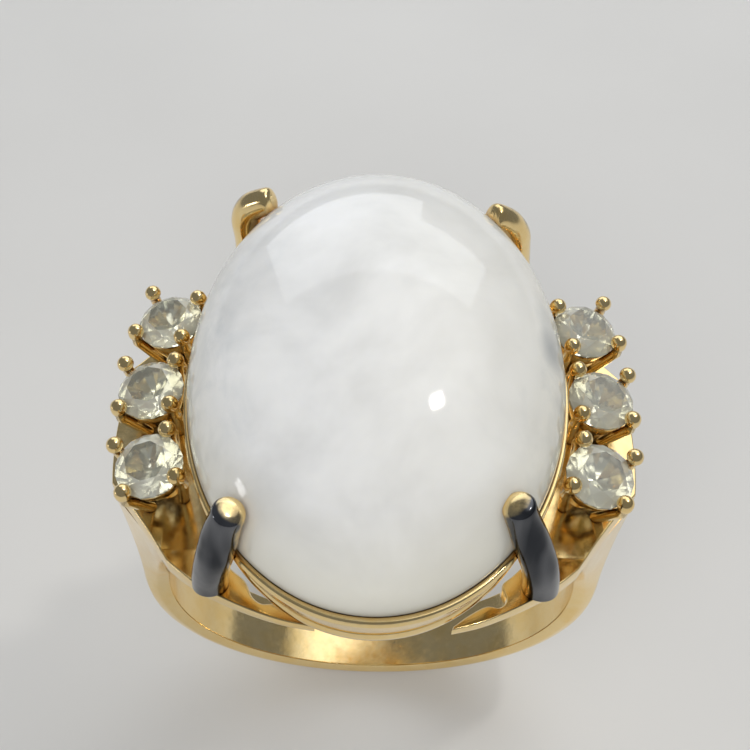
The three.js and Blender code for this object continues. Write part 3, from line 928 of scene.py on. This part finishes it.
def brilliant(name, place, turn):
    """A round brilliant: table, eight kites, eight stars, sixteen upper and lower halves, mains."""
    table, star, lower = 0.62, 0.80, 0.27  # the rings of corners, as shares of the stone's radius
    half = math.pi / 8
    top = ACCENT_HALF_GIRDLE + ACCENT_CROWN
    culet = -ACCENT_HALF_GIRDLE - ACCENT_PAVILION
    star_z = top - (star * math.cos(half) - table) / (1 - table) * ACCENT_CROWN
    lower_z = culet + lower * math.cos(half) * ACCENT_PAVILION

    def ring(share, z, offset, count):
        radius = share * ACCENT_RADIUS
        around = angles(count, turn + offset)
        return [place @ Vector((radius * math.cos(t), radius * math.sin(t), z)) for t in around]

    points = ring(table, top, 0, 8) + ring(star, star_z, half, 8)
    points += ring(1, ACCENT_HALF_GIRDLE, 0, 16) + ring(1, -ACCENT_HALF_GIRDLE, 0, 16)
    points += ring(lower, lower_z, half, 8) + [place @ Vector((0, 0, culet))]
    # Where each ring of corners starts in the list of points
    tables, stars, uppers, lowers, mains, tip = 0, 8, 16, 32, 48, 56
    faces = [tuple(range(8))]
    for k in range(8):
        after = (k + 1) % 8
        before = (k - 1) % 8
        start = 2 * k
        mid = 2 * k + 1
        end = (2 * k + 2) % 16
        faces.append((tables + k, stars + before, uppers + start, stars + k))
        faces.append((tables + k, stars + k, tables + after))
        faces.append((stars + k, uppers + start, uppers + mid))
        faces.append((stars + k, uppers + mid, uppers + end))
        faces.append((uppers + start, lowers + start, lowers + mid, uppers + mid))
        faces.append((uppers + mid, lowers + mid, lowers + end, uppers + end))
        faces.append((mains + k, lowers + mid, lowers + start))
        faces.append((mains + k, lowers + end, lowers + mid))
        faces.append((tip, mains + k, lowers + start, mains + before))
    mesh = mesh_of(name, points, faces)
    face_out(mesh)
    foil = mesh.attributes.new("foil", "FLOAT", "FACE")
    scuffed = mesh.attributes.new("scuffed", "FLOAT", "FACE")
    for i, face in enumerate(mesh.polygons):
        rise = face.normal.dot(axis_of(place))
        foil.data[i].value = 1.0 if rise < -0.1 else 0.0
        scuffed.data[i].value = 1.0 if 0.1 < rise < 0.99 else 0.0
    return new_object(name, mesh)


def wire_reach(z, foot):
    """How far a basket wire's axis is from the stone's axis, at height z from the girdle."""
    if z > 0:
        return mix(WIRE_REACH, BEAD_REACH, min(1.0, z / BEAD_RISE))
    return mix(WIRE_REACH, FOOT_REACH, z / foot)


def make_bead_claw(name, place, angle, foot):
    """A basket wire that leans out from its foot and ends in a ball over the stone's edge."""
    neck = -math.acos(WIRE_RADIUS / BEAD_RADIUS)
    steps = 12
    wire_bottom, wire_top = foot - SPARE_FOOT, mm(-0.1)
    profile = [(WIRE_RADIUS, mix(wire_bottom, wire_top, i / steps)) for i in range(steps + 1)]
    for i in range(steps):
        t = mix(neck, math.pi / 2, i / steps)
        profile.append((BEAD_RADIUS * math.cos(t), BEAD_RISE + BEAD_RADIUS * math.sin(t)))
    out = Vector((math.cos(angle), math.sin(angle), 0))
    loops = []
    for radius, z in profile:
        middle = out * wire_reach(z, foot)
        loops.append([place @ (middle + p) for p in oval_loop(radius, radius, z, 24)])
    claw = stacked(name, loops)
    trim_below(claw, Vector((0, 0, PLATE_TOP + SEAM)), Vector((0, 0, 1)))
    smooth(claw, 50)
    return claw


def make_collet(name, place, foot):
    """The ring inside the four wires, whose bore clears the stone's pavilion."""

    def outer(z):
        return wire_reach(z, foot) - WIRE_RADIUS - SEAM

    pavilion = ACCENT_RADIUS * (1 + (COLLET_TOP + ACCENT_HALF_GIRDLE) / ACCENT_PAVILION)
    corners = [
        (COLLET_BOTTOM_BORE, COLLET_BOTTOM), (outer(COLLET_BOTTOM), COLLET_BOTTOM),
        (outer(COLLET_TOP), COLLET_TOP), (pavilion + mm(0.02), COLLET_TOP),
        (COLLET_WAIST_BORE, COLLET_WAIST),
    ]
    loops = [[place @ p for p in oval_loop(r, r, z, 64)] for r, z in rounded(corners, mm(0.05))]
    collet = stacked(name, loops, closed=True)
    smooth(collet, 40)
    return collet


def make_accents():
    for side, sign in SIDES.items():
        for row, turn in ROW_TURNS.items():
            label = f"{side}_{row}"
            place = basket_place(side, row)
            foot = PLATE_TOP + SEAM - place.translation.z
            stone = brilliant(f"cut_{label}_accent_stone", place, ACCENT_STONE_TURN + turn)
            settle(stone, clear, "clear_stone", f"{label}_accent_stone")
            collet = make_collet(f"bright_{label}_collet", place, foot)
            settle(collet, gold, "gold_plate", f"{label}_collet")
            for i, corner in enumerate(CORNERS):
                angle = math.pi / 4 + math.pi / 2 * i + turn
                angle = angle if sign > 0 else math.pi - angle
                name = f"{label}_{corner}_bead_claw"
                claw = make_bead_claw(f"bright_{name}", place, angle, foot)
                settle(claw, gold, "gold_plate", name)


# ------------------------------------------------------------------ stage


def make_camera():
    """A view from above the ring's front, close enough for a strong perspective."""
    elevation, azimuth, roll = math.radians(52.3), math.radians(-0.2), math.radians(1.5)
    distance = mm(38.4)
    level = math.cos(elevation)
    back = Vector((math.sin(azimuth) * level, -math.cos(azimuth) * level, math.sin(elevation)))
    side = Vector((0, 0, 1)).cross(back).normalized()
    up = back.cross(side)
    right = math.cos(roll) * side + math.sin(roll) * up
    upright = math.cos(roll) * up - math.sin(roll) * side
    data = bpy.data.cameras.new("camera")
    data.lens = 53.0
    data.sensor_width = 36.0
    data.clip_start = mm(1)
    data.clip_end = 10
    camera = bpy.data.objects.new("camera", data)
    target = Vector((0, 0, GIRDLE_Z)) + right * mm(-0.06) + upright * mm(0.08)
    turn = Matrix((right, upright, back)).transposed().to_4x4()
    camera.matrix_world = Matrix.Translation(target + back * distance) @ turn
    bpy.context.scene.collection.objects.link(camera)
    bpy.context.scene.camera = camera


def add_light(name, azimuth, elevation, distance, size, power,
              colour=(1, 1, 1), shift=(0, 0), **settings):
    """A soft flat light that faces the ring, moved in its own plane by shift. Azimuth 0 is behind the
    ring and 90 at its right."""
    a, e = math.radians(azimuth), math.radians(elevation)
    way = Vector((math.sin(a) * math.cos(e), math.cos(a) * math.cos(e), math.sin(e)))
    turn = way.to_track_quat("Z", "Y")
    data = bpy.data.lights.new(name, "AREA")
    data.shape = "RECTANGLE"
    data.size, data.size_y = size
    data.energy = power
    data.color = colour
    light = bpy.data.objects.new(name, data)
    light.location = Vector((0, 0, GIRDLE_Z)) + way * distance + turn @ Vector((*shift, 0))
    light.rotation_euler = turn.to_euler()
    light.visible_camera = False
    for key, value in settings.items():
        setattr(light, key, value)
    bpy.context.scene.collection.objects.link(light)
    return data


def make_stage():
    """The floor under the ring, daylight from a window behind it, and softer light from above."""
    half = 2.0
    corners = [(-half, -half), (half, -half), (half, half), (-half, half)]
    mesh = mesh_of("studio_floor", [(x, y, PALM_Z) for x, y in corners], [(0, 1, 2, 3)])
    floor = new_object("studio_floor", mesh)
    floor.data.materials.append(floor_material())
    daylight = (0.93, 0.97, 1)
    add_light("window", azimuth=0, elevation=24, distance=0.25, size=(0.21, 0.17), power=0.135,
              colour=daylight, shift=(0.055, 0))
    add_light("window_corner", azimuth=0, elevation=24, distance=0.25, size=(0.11, 0.105),
              power=0.044, colour=daylight, shift=(-0.105, 0.0325))
    # Discs of growing size, each a little behind the last, so that the reflection's edge is soft
    for i, size in enumerate((0.20, 0.29, 0.38, 0.47)):
        ceiling = add_light(f"ceiling_{i}", azimuth=34, elevation=54, distance=0.4 + 0.012 * i,
                            size=(size, size), power=0.8 * size**2)
        ceiling.shape = "DISK"
    add_light("fill", azimuth=192, elevation=54, distance=0.4, size=(0.30, 0.30), power=0.89,
              colour=(1, 0.99, 0.97), visible_glossy=False)
    add_light("lamp", azimuth=66, elevation=63, distance=0.3, size=(0.02, 0.026), power=0.1,
              colour=(1, 0.97, 0.92))
    add_light("side", azimuth=-99, elevation=2, distance=0.3, size=(0.03, 0.04), power=0.02)
    world = bpy.data.worlds.new("studio")
    world.use_nodes = True
    background = world.node_tree.nodes["Background"]
    background.inputs["Color"].default_value = (0.80, 0.84, 0.90, 1)
    background.inputs["Strength"].default_value = 0.22
    bpy.context.scene.world = world
    bpy.context.scene.view_settings.view_transform = "Standard"


# ------------------------------------------------------------------ the ring

make_camera()
make_stage()
make_cabochon()
make_rails()
side_holes = {side: azure_holes(side) for side in SIDES}
make_plates(side_holes)
make_shank(side_holes["right"] + side_holes["left"])
remove(*side_holes["right"], *side_holes["left"])
make_claws()
make_accents()

bpy.context.view_layer.update()
